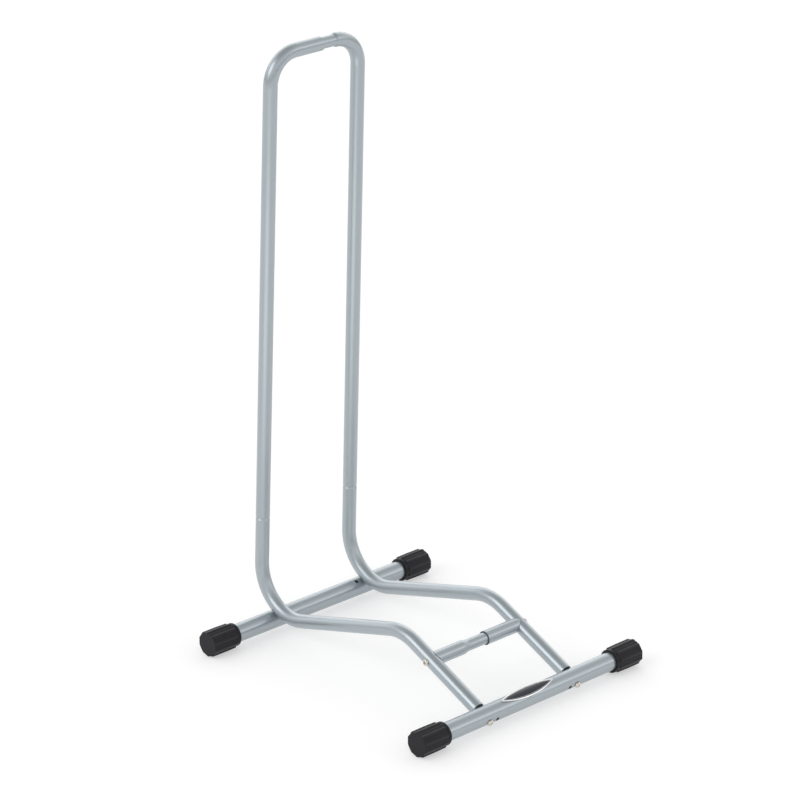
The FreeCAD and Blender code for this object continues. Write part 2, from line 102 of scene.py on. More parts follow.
# %% [markdown]
# ## Small helpers for shader nodes
#
# A material in Blender is a graph of nodes.  These helpers make a node, set its plain values and
# join sockets, so that each finish below reads as a list of what it is made of.

# %% Helpers for shader nodes
def add_node(tree, kind, **settings):
    """A new node; settings whose names are sockets set those inputs, the others its properties."""
    node = tree.nodes.new(kind)
    for key, value in settings.items():
        if hasattr(node, key):
            setattr(node, key, value)
        else:
            node.inputs[key.replace("_", " ")].default_value = value
    return node


def join(tree, source, target):
    """Joins an output socket to an input socket."""
    tree.links.new(source, target)


def new_finish(name):
    """An empty material with a Principled shader: (material, node tree, shader node)."""
    material = bpy.data.materials.new(name)
    material.use_nodes = True
    tree = material.node_tree
    return material, tree, tree.nodes["Principled BSDF"]


def set_plain(shader, **values):
    """Sets values that are the same all over the surface on the shader's own sockets."""
    for key, value in values.items():
        shader.inputs[key.replace("_", " ")].default_value = value


def soft_ramp(tree, value, start, end, from_level=0.0, to_level=1.0):
    """A level that follows an S-curve from one number to another between start and end."""
    ramp = add_node(tree, "ShaderNodeMapRange", interpolation_type="SMOOTHSTEP")
    numbers = {"From Min": start, "From Max": end, "To Min": from_level, "To Max": to_level}
    for name, number in numbers.items():
        ramp.inputs[name].default_value = number
    join(tree, value, ramp.inputs["Value"])
    return ramp.outputs["Result"]


print("helpers ready: nodes, links, finishes and soft ramps")

# %% [markdown]
# ## Effects that several finishes share
#
# Nothing real is one even colour.  The first group gives a slow drift of tone and a finer speckle,
# the second gives the tiny waves that a sprayed or moulded skin has.  Each is built once and
# placed in every material with its own values.

# %% Group: uneven tone
DRIFT_SHARE = 0.5                  # of the mix; the fine speckle makes up the rest


def build_uneven_tone():
    """Group that mixes two colours by share x slow noise + (1 - share) x fine noise."""
    tree = bpy.data.node_groups.new("uneven tone", "ShaderNodeTree")
    for name, kind in (("Dark", "NodeSocketColor"), ("Light", "NodeSocketColor"),
                       ("Drift Scale", "NodeSocketFloat"), ("Speck Scale", "NodeSocketFloat")):
        tree.interface.new_socket(name, in_out="INPUT", socket_type=kind)
    tree.interface.new_socket("Color", in_out="OUTPUT", socket_type="NodeSocketColor")
    tree.interface.new_socket("Mix", in_out="OUTPUT", socket_type="NodeSocketFloat")
    given = add_node(tree, "NodeGroupInput")
    place = add_node(tree, "ShaderNodeTexCoord")
    drift = add_node(tree, "ShaderNodeTexNoise", Detail=2.0)
    speck = add_node(tree, "ShaderNodeTexNoise", Detail=3.0, Roughness=0.6)
    both = add_node(tree, "ShaderNodeMath", operation="MULTIPLY_ADD")
    both.inputs[1].default_value = DRIFT_SHARE
    speck_part = add_node(tree, "ShaderNodeMath", operation="MULTIPLY")
    speck_part.inputs[1].default_value = 1 - DRIFT_SHARE
    colours = add_node(tree, "ShaderNodeMix", data_type="RGBA")
    result = add_node(tree, "NodeGroupOutput")
    join(tree, place.outputs["Object"], drift.inputs["Vector"])
    join(tree, place.outputs["Object"], speck.inputs["Vector"])
    join(tree, given.outputs["Drift Scale"], drift.inputs["Scale"])
    join(tree, given.outputs["Speck Scale"], speck.inputs["Scale"])
    join(tree, speck.outputs["Fac"], speck_part.inputs[0])
    join(tree, drift.outputs["Fac"], both.inputs[0])
    join(tree, speck_part.outputs[0], both.inputs[2])
    join(tree, both.outputs[0], colours.inputs["Factor"])
    join(tree, given.outputs["Dark"], colours.inputs["A"])
    join(tree, given.outputs["Light"], colours.inputs["B"])
    join(tree, colours.outputs["Result"], result.inputs["Color"])
    join(tree, both.outputs[0], result.inputs["Mix"])
    return tree


UNEVEN_TONE = build_uneven_tone()
print("group ready:", UNEVEN_TONE.name)


# %% Group: skin waves
def build_skin_waves():
    """Group that gives a height = broad waves + share x a finer grain, both of them noise."""
    tree = bpy.data.node_groups.new("skin waves", "ShaderNodeTree")
    for name in ("Wave Scale", "Grain Scale", "Grain Share"):
        tree.interface.new_socket(name, in_out="INPUT", socket_type="NodeSocketFloat")
    tree.interface.new_socket("Height", in_out="OUTPUT", socket_type="NodeSocketFloat")
    given = add_node(tree, "NodeGroupInput")
    place = add_node(tree, "ShaderNodeTexCoord")
    wave = add_node(tree, "ShaderNodeTexNoise", Detail=1.0)
    grain = add_node(tree, "ShaderNodeTexNoise", Detail=2.0)
    total = add_node(tree, "ShaderNodeMath", operation="MULTIPLY_ADD")
    result = add_node(tree, "NodeGroupOutput")
    join(tree, place.outputs["Object"], wave.inputs["Vector"])
    join(tree, place.outputs["Object"], grain.inputs["Vector"])
    join(tree, given.outputs["Wave Scale"], wave.inputs["Scale"])
    join(tree, given.outputs["Grain Scale"], grain.inputs["Scale"])
    join(tree, grain.outputs["Fac"], total.inputs[0])
    join(tree, given.outputs["Grain Share"], total.inputs[1])
    join(tree, wave.outputs["Fac"], total.inputs[2])
    join(tree, total.outputs[0], result.inputs["Height"])
    return tree


SKIN_WAVES = build_skin_waves()
print("group ready:", SKIN_WAVES.name)


# %% Helpers that place the groups in a material
def tone_into(tree, dark, light, drift_scale, speck_scale):
    """Places the uneven tone group: colours as red, green, blue, scales in waves per metre."""
    group = add_node(tree, "ShaderNodeGroup", node_tree=UNEVEN_TONE)
    group.inputs["Dark"].default_value = (*dark, 1)
    group.inputs["Light"].default_value = (*light, 1)
    group.inputs["Drift Scale"].default_value = drift_scale
    group.inputs["Speck Scale"].default_value = speck_scale
    return group


def waves_into(tree, shader, wave_scale, grain_scale, grain_share, depth):
    """Places the skin waves group, with a Bump node of a real depth in metres, on a shader."""
    group = add_node(tree, "ShaderNodeGroup", node_tree=SKIN_WAVES)
    group.inputs["Wave Scale"].default_value = wave_scale
    group.inputs["Grain Scale"].default_value = grain_scale
    group.inputs["Grain Share"].default_value = grain_share
    bump = add_node(tree, "ShaderNodeBump", Strength=1.0, Distance=depth)
    join(tree, group.outputs["Height"], bump.inputs["Height"])
    join(tree, bump.outputs["Normal"], shader.inputs["Normal"])


def roughness_between(tree, shader, mix, low, high):
    """Lets the roughness wander between two values, following a mix of 0 to 1."""
    spread = add_node(tree, "ShaderNodeMapRange")
    spread.inputs["To Min"].default_value = low
    spread.inputs["To Max"].default_value = high
    join(tree, mix, spread.inputs["Value"])
    join(tree, spread.outputs["Result"], shader.inputs["Roughness"])


print("helpers ready: tone, waves and roughness")

# %% [markdown]
# ## Silver powder coat
#
# The tubes have a smooth silver-grey coat with fine metal flake in it.  It is partly a metal and
# partly a paint: it darkens where it faces dark surroundings, but never as much as bare chrome.
# So the Principled shader gets a partial Metallic value, a medium roughness and a thin clear coat,
# and the skin waves give the slight orange peel of sprayed powder.  The attribute "cut_face", which
# a mesh can carry, marks the faces at the mouth of a crossbar tube, and there the colour is nearly
# black.

# %% Finish: silver powder coat
SILVER_DARK, SILVER_LIGHT = (0.385, 0.435, 0.465), (0.455, 0.505, 0.535)
# nearly black colour for the mouth faces of the crossbar tubes
DARK_MOUTH_FACE = (0.05, 0.052, 0.055)


def silver_coat():
    """Silver-grey powder coat with flake, a slow drift of tone and a faint orange peel."""
    material, tree, shader = new_finish("silver powder coat")
    tone = tone_into(tree, SILVER_DARK, SILVER_LIGHT, drift_scale=9.0, speck_scale=2600.0)
    cut = add_node(tree, "ShaderNodeAttribute", attribute_name="cut_face")
    colour = add_node(tree, "ShaderNodeMix", data_type="RGBA")
    colour.inputs["B"].default_value = (*DARK_MOUTH_FACE, 1)
    join(tree, cut.outputs["Fac"], colour.inputs["Factor"])
    join(tree, tone.outputs["Color"], colour.inputs["A"])
    join(tree, colour.outputs["Result"], shader.inputs["Base Color"])
    roughness_between(tree, shader, tone.outputs["Mix"], low=0.27, high=0.37)
    set_plain(shader, Metallic=0.7, Coat_Weight=0.3, Coat_Roughness=0.12)
    waves_into(tree, shader, wave_scale=420.0, grain_scale=2200.0, grain_share=0.25, depth=0.00003)
    return material


SILVER_COAT = silver_coat()
print("finish ready:", SILVER_COAT.name)

# %% [markdown]
# ## Black rubber
#
# The caps are moulded rubber.  They are nearly black and take a soft wide sheen on the crests of
# the ribs.  There the colour is also painted paler, partly as a little pale dust and partly as a
# painted highlight for that sheen.  The crest of each rib is marked on the mesh itself by a value
# from 0 to 1, so the paler paint follows the ribs from any side.

# %% Finish: black rubber
RUBBER_DARK, RUBBER_LIGHT = (0.006, 0.006, 0.0085), (0.013, 0.013, 0.017)
# colour of the crests: a little pale dust and a painted highlight
RUBBER_DUST_AND_SHEEN = (0.036, 0.036, 0.042)


def black_rubber():
    """Moulded rubber, paler on the marked crests: partly dust, partly a painted highlight."""
    material, tree, shader = new_finish("black rubber")
    tone = tone_into(tree, RUBBER_DARK, RUBBER_LIGHT, drift_scale=60.0, speck_scale=1500.0)
    crest = add_node(tree, "ShaderNodeAttribute", attribute_name="crest")
    # how much paler a crest is painted: partly dust, partly painted highlight
    dust_and_sheen_amount = add_node(tree, "ShaderNodeMath", operation="MULTIPLY")
    join(tree, crest.outputs["Fac"], dust_and_sheen_amount.inputs[0])
    join(tree, tone.outputs["Mix"], dust_and_sheen_amount.inputs[1])
    crest_paler = add_node(tree, "ShaderNodeMix", data_type="RGBA")
    crest_paler.inputs["B"].default_value = (*RUBBER_DUST_AND_SHEEN, 1)
    join(tree, dust_and_sheen_amount.outputs[0], crest_paler.inputs["Factor"])
    join(tree, tone.outputs["Color"], crest_paler.inputs["A"])
    join(tree, crest_paler.outputs["Result"], shader.inputs["Base Color"])
    roughness_between(tree, shader, tone.outputs["Mix"], low=0.36, high=0.5)
    set_plain(shader, Specular_IOR_Level=0.25)
    waves_into(tree, shader, wave_scale=900.0, grain_scale=3200.0, grain_share=0.6, depth=0.00006)
    return material


BLACK_RUBBER = black_rubber()
print("finish ready:", BLACK_RUBBER.name)

# %% [markdown]
# ## Metals of the small pieces
#
# The screws are zinc plated, which looks slightly warm beside the coat.  The plugs and the rivet
# nuts sit inside the tubes and are plain steel.

# %% Finishes: zinc and plain steel
def bright_metal(name, dark, light, rough_low, rough_high):
    """A bare metal with the small changes of tone and roughness that plating leaves."""
    material, tree, shader = new_finish(name)
    tone = tone_into(tree, dark, light, drift_scale=180.0, speck_scale=1900.0)
    join(tree, tone.outputs["Color"], shader.inputs["Base Color"])
    roughness_between(tree, shader, tone.outputs["Mix"], rough_low, rough_high)
    set_plain(shader, Metallic=1.0)
    waves_into(tree, shader, wave_scale=1300.0, grain_scale=4200.0, grain_share=0.4, depth=0.00001)
    return material


ZINC = bright_metal("zinc plating", dark=(0.58, 0.54, 0.48), light=(0.78, 0.75, 0.69),
                    rough_low=0.16, rough_high=0.28)
PLAIN_STEEL = bright_metal("plain steel", dark=(0.35, 0.35, 0.36), light=(0.52, 0.52, 0.53),
                           rough_low=0.35, rough_high=0.5)
print("finishes ready:", ZINC.name, "and", PLAIN_STEEL.name)

# %% [markdown]
# ## The badge plate and its pad
#
# The plate is a stamped metal oval with a bright raised rim round a sunk dark field.  The field
# stays bare here, with one thin bright line inside the rim as a plain finish.  Each point of the
# plate carries its distance from the outer edge, so the shader can tell rim, field and line apart.
# Points underneath carry a distance below the rim's start, so the underside and the foot of the
# side wall take the dark enamel colour as painted shade.

# %% Finish: badge plate
RIM_STARTS, RIM_ENDS = -1.0, 1.65  # millimetres in from the edge
RIM_SOFTNESS = 0.12
LINE_STARTS, LINE_ENDS = 2.45, 2.65
LINE_SOFTNESS = 0.1
ENAMEL_DARK, ENAMEL_LIGHT = (0.018, 0.021, 0.028), (0.032, 0.036, 0.046)
POLISHED = (0.92, 0.92, 0.93)


def band(tree, distance, start, end, soft):
    """Mask that is 1 between two distances from the edge and falls off over a soft width."""
    both = add_node(tree, "ShaderNodeMath", operation="MULTIPLY")
    join(tree, soft_ramp(tree, distance, start - soft, start), both.inputs[0])
    join(tree, soft_ramp(tree, distance, end, end + soft, 1.0, 0.0), both.inputs[1])
    return both.outputs[0]


def badge_finish():
    """Bright rim and line in polished metal; dark enamel between them and, as painted shade,
    underneath.
    """
    material, tree, shader = new_finish("badge plate")
    edge = add_node(tree, "ShaderNodeAttribute", attribute_name="from_edge")
    rim = band(tree, edge.outputs["Fac"], RIM_STARTS, RIM_ENDS, RIM_SOFTNESS)
    line = band(tree, edge.outputs["Fac"], LINE_STARTS, LINE_ENDS, LINE_SOFTNESS)
    bright = add_node(tree, "ShaderNodeMath", operation="ADD", use_clamp=True)
    join(tree, rim, bright.inputs[0])
    join(tree, line, bright.inputs[1])
    enamel = tone_into(tree, ENAMEL_DARK, ENAMEL_LIGHT, drift_scale=150.0, speck_scale=2400.0)
    colour = add_node(tree, "ShaderNodeMix", data_type="RGBA")
    colour.inputs["B"].default_value = (*POLISHED, 1)
    join(tree, bright.outputs[0], colour.inputs["Factor"])
    join(tree, enamel.outputs["Color"], colour.inputs["A"])
    join(tree, colour.outputs["Result"], shader.inputs["Base Color"])
    join(tree, bright.outputs[0], shader.inputs["Metallic"])
    roughness_between(tree, shader, enamel.outputs["Mix"], low=0.16, high=0.3)
    waves_into(tree, shader, wave_scale=500.0, grain_scale=2600.0, grain_share=0.3, depth=0.00001)
    return material


def pad_finish():
    """Dark foam pad with an open grain."""
    material, tree, shader = new_finish("foam pad")
    tone = tone_into(tree, dark=(0.008, 0.008, 0.009), light=(0.02, 0.02, 0.022),
                     drift_scale=300.0, speck_scale=2500.0)
    join(tree, tone.outputs["Color"], shader.inputs["Base Color"])
    set_plain(shader, Roughness=0.9)
    waves_into(tree, shader, wave_scale=2000.0, grain_scale=4500.0, grain_share=0.8, depth=0.0001)
    return material


BADGE_FINISH = badge_finish()
FOAM_PAD = pad_finish()
print("finishes ready:", BADGE_FINISH.name, "and", FOAM_PAD.name)

# %% [markdown]
# ## Paint the tubes that stay as they are
#
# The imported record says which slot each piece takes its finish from, so one loop can hand every
# kept piece its material.

# %% Give the kept pieces their finishes
FINISH_OF_SLOT = {"tube_paint": SILVER_COAT, "cap_rubber": BLACK_RUBBER,
                  "badge_metal": BADGE_FINISH, "pad_foam": FOAM_PAD,
                  "screw_zinc": ZINC, "plug_steel": PLAIN_STEEL}
for part in frame["record"]["subparts"]:
    node = frame["nodes"][part["node"]]
    for material_slot in node.material_slots:
        material_slot.material = FINISH_OF_SLOT[part["material_slot"]]

# %% [markdown]
# ## How the new pieces are made
#
# Each new piece is a closed skin over a grid.  Its rows follow an outline from one end of the
# piece to the other, its columns go round, and a single point closes each end; on an open tube the
# outline comes back to its start instead.  An outline is a list of corners with a radius for each,
# because turned and moulded parts are drawn that way.

# %% An outline with rounded corners
def rounded_outline(corners, radii, spacing, arc_steps=6):
    """Points of a path through corners, each rounded by an arc that touches both its sides.

    The arc of radius r at a corner with half angle a starts r / tan(a) before the corner, and its
    centre lies r / sin(a) from the corner along the bisector.  Straight stretches are then divided
    into equal steps no longer than the spacing.
    """
    corners = np.array(corners, float)
    points = [corners[:1]]
    for before, corner, after, radius in zip(corners, corners[1:], corners[2:], radii):
        if radius == 0:
            points.append(corner[None])
            continue
        back = (before - corner) / np.linalg.norm(before - corner)
        ahead = (after - corner) / np.linalg.norm(after - corner)
        half = np.arccos(np.clip(back @ ahead, -1, 1)) / 2
        centre = corner + (back + ahead) / np.linalg.norm(back + ahead) * radius / np.sin(half)
        start = corner + back * radius / np.tan(half) - centre
        end = corner + ahead * radius / np.tan(half) - centre
        share = np.linspace(0, 1, arc_steps + 1)[:, None]
        sweep = np.pi - 2 * half
        arc = (np.sin((1 - share) * sweep) * start + np.sin(share * sweep) * end) / np.sin(sweep)
        points.append(centre + arc)
    points.append(corners[-1:])
    path = np.vstack(points)
    stretches = np.linalg.norm(np.diff(path, axis=0), axis=1)
    steps = np.maximum(1, np.ceil(stretches / spacing)).astype(int)
    shares = [index + np.arange(count) / count for index, count in enumerate(steps)]
    at = np.concatenate(shares + [[len(steps)]])
    return np.column_stack([np.interp(at, np.arange(len(path)), column) for column in path.T])


corner_points = rounded_outline([(0, 0), (1, 0), (1, 1)], [0.2], spacing=0.5)
print("one rounded corner as an outline:", len(corner_points), "points")


# %% A soft step
def smooth_step(value, start, end):
    """0 before start, 1 after end, and an S-curve 3t^2 - 2t^3 between them."""
    share = np.clip((value - start) / (end - start), 0, 1)
    return share * share * (3 - 2 * share)


print("soft step a quarter of the way:", smooth_step(0.25, 0, 1))


# %% A closed skin over a grid of points
def skin(name, rows, end_points=(), marks=None):
    """Mesh over a grid of (rows, columns, 3) points.

    Two end points, one before the grid and one after it, close its ends.  Without them the last
    row joins the first, as on a tube with an outside and a bore.  The faces are turned so that the
    volume, the sum of the corners' triple products over 6, is positive.  Marks are named values
    for every grid point, kept as attributes for the shader.
    """
    count_rows, count_columns = rows.shape[:2]
    points = np.vstack([rows.reshape(-1, 3)] + [[point] for point in end_points])
    index = np.arange(count_rows * count_columns).reshape(count_rows, count_columns)
    beside = np.roll(index, -1, axis=1)
    next_row, beside_next = np.roll(index, -1, axis=0), np.roll(beside, -1, axis=0)
    quads = np.stack([index, beside, beside_next, next_row], axis=-1)
    fans = np.empty((0, 3), int)
    if len(end_points):
        quads = quads[:-1]
        first_tip = np.full(count_columns, len(points) - 2)
        last_tip = np.full(count_columns, len(points) - 1)
        fans = np.vstack([np.stack([beside[0], index[0], first_tip], axis=-1),
                          np.stack([index[-1], beside[-1], last_tip], axis=-1)])
    quads = quads.reshape(-1, 4)
    corners = points[np.vstack([quads[:, [0, 1, 2]], quads[:, [0, 2, 3]], fans])]
    volume = np.einsum("ij,ij->", corners[:, 0], np.cross(corners[:, 1], corners[:, 2])) / 6
    if volume < 0:
        quads, fans = quads[:, ::-1], fans[:, ::-1]
    mesh = bpy.data.meshes.new(name)
    mesh.from_pydata(points.tolist(), [], quads.tolist() + fans.tolist())
    mesh.polygons.foreach_set("use_smooth", np.ones(len(mesh.polygons), bool))
    for mark, values in (marks or {}).items():
        at_ends = values[[0, -1], 0] if len(end_points) else []
        flat = np.concatenate([values.reshape(-1), at_ends]).astype(np.float32)
        mesh.attributes.new(mark, "FLOAT", "POINT").data.foreach_set("value", flat)
    mesh.update()
    piece = bpy.data.objects.new(name, mesh)
    bpy.context.scene.collection.objects.link(piece)
    cubic_mm = round(abs(volume) / MM ** 3)
    print(name, "has", len(mesh.polygons), "faces and", cubic_mm, "cubic millimetres")
    return piece


def settle(piece, node, finish):
    """Lets a new piece stand for a node and its finish, on the one rigid body."""
    piece.data.materials.append(finish)
    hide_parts(node)
    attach(piece, "root")


print("helpers ready: skins over a grid, and settling them")

# %% [markdown]
# ## The crossbar
#
# The crossbar is two tubes.  The left one is swaged, which means squeezed down, so that it slides
# into the right one, a plain sleeve.  Each outer end is cut to a saddle and lies close against its
# leg.  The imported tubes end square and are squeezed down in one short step; these two take their
# place with the saddles and with the longer, softer step of the real ones.
#
# A tube is a closed outline, outside and bore, turned round an axis.  The saddle comes last:
# points near the end are moved along the tube until the end lies on the leg's round surface.

# %% Sizes of the crossbar
SIDE_TUBE_RADIUS = 9.5 * MM
SIDE_TUBE_WALL = 1.5 * MM
SWAGED_RADIUS = 7.85 * MM
SWAGED_WALL = 1.2 * MM
SWAGE_STARTS, SWAGE_ENDS = -25.5 * MM, -16.5 * MM     # along X
SWAGE_ROUND = 16.0 * MM
LEG_SLOPE = 24.8                   # degrees that a leg falls to the front foot
SADDLE_GAP = 0.35 * MM             # room between the saddle and the leg
SADDLE_DEEPEST = 7.0 * MM
SADDLE_RUN = 13.0 * MM             # length over which points give way to the saddle
TUBE_COLUMNS = 96
TUBE_STEP = 1.5 * MM               # longest step along an outline
CUT_ROUND = 0.2 * MM
TIP_TAPER, TIP_TAPER_LENGTH = 0.5 * MM, 1.0 * MM
TIP_ROUND = 0.3 * MM
MOUTH_DEPTH = 0.05 * MM            # points this close to the mouth are on the sawn face
print("crossbar in millimetres:", round(2 * SIDE_TUBE_RADIUS / MM, 1), "across, squeezed to",
      round(2 * SWAGED_RADIUS / MM, 1))


# %% Make one half of the crossbar
def saddle_shift(radius, turn):
    """How far a point moves outwards to lie close to the leg.

    It is R - sqrt(R^2 - d^2) - gap, kept between 0 and the deepest.  R is the leg's radius with
    the gap, and d is how far the point lies from the leg's axis when seen along the crossbar.
    """
    leg_radius = SIDE_TUBE_RADIUS + SADDLE_GAP
    from_axis = radius * np.cos(turn - math.radians(LEG_SLOPE))
    shift = leg_radius - np.sqrt(np.maximum(leg_radius ** 2 - from_axis ** 2, 0)) - SADDLE_GAP
    return np.clip(shift, 0, SADDLE_DEEPEST)


def crossbar_half(node, name, outwards, corners, radii, mouth_x):
    """Tube turned from a closed outline of (x, radius), with a saddle at its outer end."""
    low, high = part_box(node)
    axis_y, axis_z = (low.y + high.y) / 2, (low.z + high.z) / 2
    end_x = high.x if outwards > 0 else low.x
    outline = rounded_outline(corners, radii, TUBE_STEP, arc_steps=4)[:-1]
    turn = np.arange(TUBE_COLUMNS) / TUBE_COLUMNS * 2 * np.pi
    x, radius = outline[:, :1], outline[:, 1:]
    near_end = 1 - smooth_step(abs(end_x - x), 0, SADDLE_RUN)
    moved = x + outwards * saddle_shift(radius, turn) * near_end
    rows = np.stack([moved, axis_y + radius * np.sin(turn), axis_z - radius * np.cos(turn)],
                    axis=-1)
    at_mouth = (abs(x - mouth_x) < MOUTH_DEPTH) * np.ones_like(moved)
    piece = skin(name, rows, marks={"cut_face": at_mouth})
    settle(piece, node, SILVER_COAT)


def both_crossbar_halves():
    """The swaged half on the left and the sleeve on the right, their ends and mouths as packed."""
    outside, bore = SIDE_TUBE_RADIUS, SIDE_TUBE_RADIUS - SIDE_TUBE_WALL
    swaged_bore = SWAGED_RADIUS - SWAGED_WALL
    low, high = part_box("crossbar_inner")
    middle = (low.x + SWAGE_STARTS) / 2
    corners = [(middle, outside), (SWAGE_STARTS, outside), (SWAGE_ENDS, SWAGED_RADIUS),
               (high.x - TIP_TAPER_LENGTH, SWAGED_RADIUS), (high.x, SWAGED_RADIUS - TIP_TAPER),
               (high.x, swaged_bore), (SWAGE_ENDS, swaged_bore), (SWAGE_STARTS, bore),
               (low.x, bore), (low.x, outside), (middle, outside)]
    radii = [SWAGE_ROUND, SWAGE_ROUND, TIP_ROUND, CUT_ROUND, CUT_ROUND,
             SWAGE_ROUND, SWAGE_ROUND, CUT_ROUND, CUT_ROUND]
    crossbar_half("crossbar_inner", "swaged_crossbar_half", -1, corners, radii, mouth_x=high.x)

    low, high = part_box("crossbar_sleeve")
    middle = (low.x + high.x) / 2
    corners = [(middle, outside), (high.x, outside), (high.x, bore), (low.x, bore),
               (low.x, outside), (middle, outside)]
    crossbar_half("crossbar_sleeve", "plain_crossbar_half", 1, corners, [CUT_ROUND] * 4,
                  mouth_x=low.x)


both_crossbar_halves()

# %% [markdown]
# ## Ribbed rubber caps
#
# A cap is a cup pushed over the end of a foot tube.  Its mouth is a smooth collar, and behind that
# stand ten round-topped ribs, which run to a soft round at the closed end.  The valleys between
# them run out into that round, so the end face itself is a plain circle.  One rib points straight
# down, and the four caps stand on those.
#
# Extruding ribs and fusing them on would leave hard seams.  Here the whole outside is one formula
# instead: along the cap an outline gives the height of the crests, and round the cap the ribs'
# shape says how far each point lies below it.

# %% Sizes of a cap
CAP_RIBS = 10
COLUMNS_PER_RIB = 24
RIB_ROUND = 2.5 * MM
RIB_HEIGHT = 1.56 * MM
RIB_FOOT_ROUND = 0.25 * MM         # how softly a rib's foot meets the valley
RIB_START_DROP = 0.4 * MM          # the crests rise this much from the collar to half way
RIB_START_RUN = 1.3 * MM           # length over which a rib comes up out of the groove
COLLAR_LENGTH = 5.0 * MM
COLLAR_WALL = 3.3 * MM
GROOVE_DEPTH = 0.35 * MM           # narrow groove between the collar and the ribs
END_WALL = 3.5 * MM
END_ROUND = 1.6 * MM
MOUTH_CHAMFER = 0.9 * MM
SEAT_GAP = 0.05 * MM
POLE_RADIUS = 0.5 * MM             # smallest circle round the point that closes an end
FLOOR_ROUND, MOUTH_ROUND = 0.6 * MM, 0.3 * MM
COLLAR_ROUND, GROOVE_ROUND = 0.8 * MM, 0.15 * MM
CAP_STEP = 4.0 * MM                # longest step along the bore and the collar
GROOVE_ROWS, SIDE_ROWS, ROUND_ROWS, FACE_ROWS = 9, 24, 14, 9


def foot_axis(foot):
    """(y, z, radius) of a foot tube, from its box."""
    low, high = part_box(foot)
    return (low.y + high.y) / 2, (low.z + high.z) / 2, (high.z - low.z) / 2


print(CAP_RIBS, "ribs on a cap, each", round(RIB_HEIGHT / MM, 2), "millimetres high")


# %% The ribs' shape round a cap
def rib_shape(turn, end_radius):
    """Share of the rib height, 0 in a valley and 1 on a crest, for turns measured from a crest.

    Over a rib the height is that of a circle whose top is the crest: sqrt(r^2 - u^2) - (r - h)
    at a distance u along the cap's girth.  A softened maximum of that and 0, which is half of
    c + sqrt(c^2 + s^2) for a height c and a softness s, gives the foot its fillet.
    """
    step = 2 * np.pi / CAP_RIBS
    off_crest = (turn + step / 2) % step - step / 2
    along_girth = off_crest * end_radius
    circle = np.sqrt(np.maximum(RIB_ROUND ** 2 - along_girth ** 2, 0)) - (RIB_ROUND - RIB_HEIGHT)
    height = (circle + np.sqrt(circle ** 2 + RIB_FOOT_ROUND ** 2)) / 2
    crest = (RIB_HEIGHT + np.sqrt(RIB_HEIGHT ** 2 + RIB_FOOT_ROUND ** 2)) / 2
    return height / crest


print("share of the rib height on a crest:", round(float(rib_shape(0.0, 1.0)), 3))


# %% The ribbed side of a cap
def ribbed_side(length, end_radius, shape):
    """(along, radius) grids of the ribbed stretch, from the collar to the end face.

    Radius = the valley's radius + rib height x share of it, where the share grows by a smooth step
    behind the collar.  Near the end the smaller of that and a quarter circle holds.
    """
    ribs_full = COLLAR_LENGTH + RIB_START_RUN
    straight = np.concatenate([COLLAR_LENGTH + np.linspace(0, RIB_START_RUN, GROOVE_ROWS),
                               np.linspace(ribs_full, length - END_ROUND, SIDE_ROWS)[1:]])
    quarter = np.linspace(0, np.pi / 2, ROUND_ROWS)[1:]
    along = np.concatenate([straight, length - END_ROUND + END_ROUND * np.sin(quarter)])[:, None]
    to_half_way = np.clip((along - COLLAR_LENGTH) / (length / 2 - COLLAR_LENGTH), 0, 1)
    crest = end_radius - RIB_START_DROP * (1 - to_half_way)
    out_of_groove = smooth_step(along, COLLAR_LENGTH, ribs_full)
    valley = crest - RIB_HEIGHT - GROOVE_DEPTH * (1 - out_of_groove)
    ribbed = valley + (crest - valley) * shape[None] * out_of_groove
    into_round = np.clip((along - (length - END_ROUND)) / END_ROUND, 0, 1)
    envelope = end_radius - END_ROUND * (1 - np.sqrt(1 - into_round ** 2))
    return np.broadcast_to(along, ribbed.shape), np.minimum(ribbed, envelope)


print("a rib comes up out of the groove over", round(RIB_START_RUN / MM, 1), "millimetres")


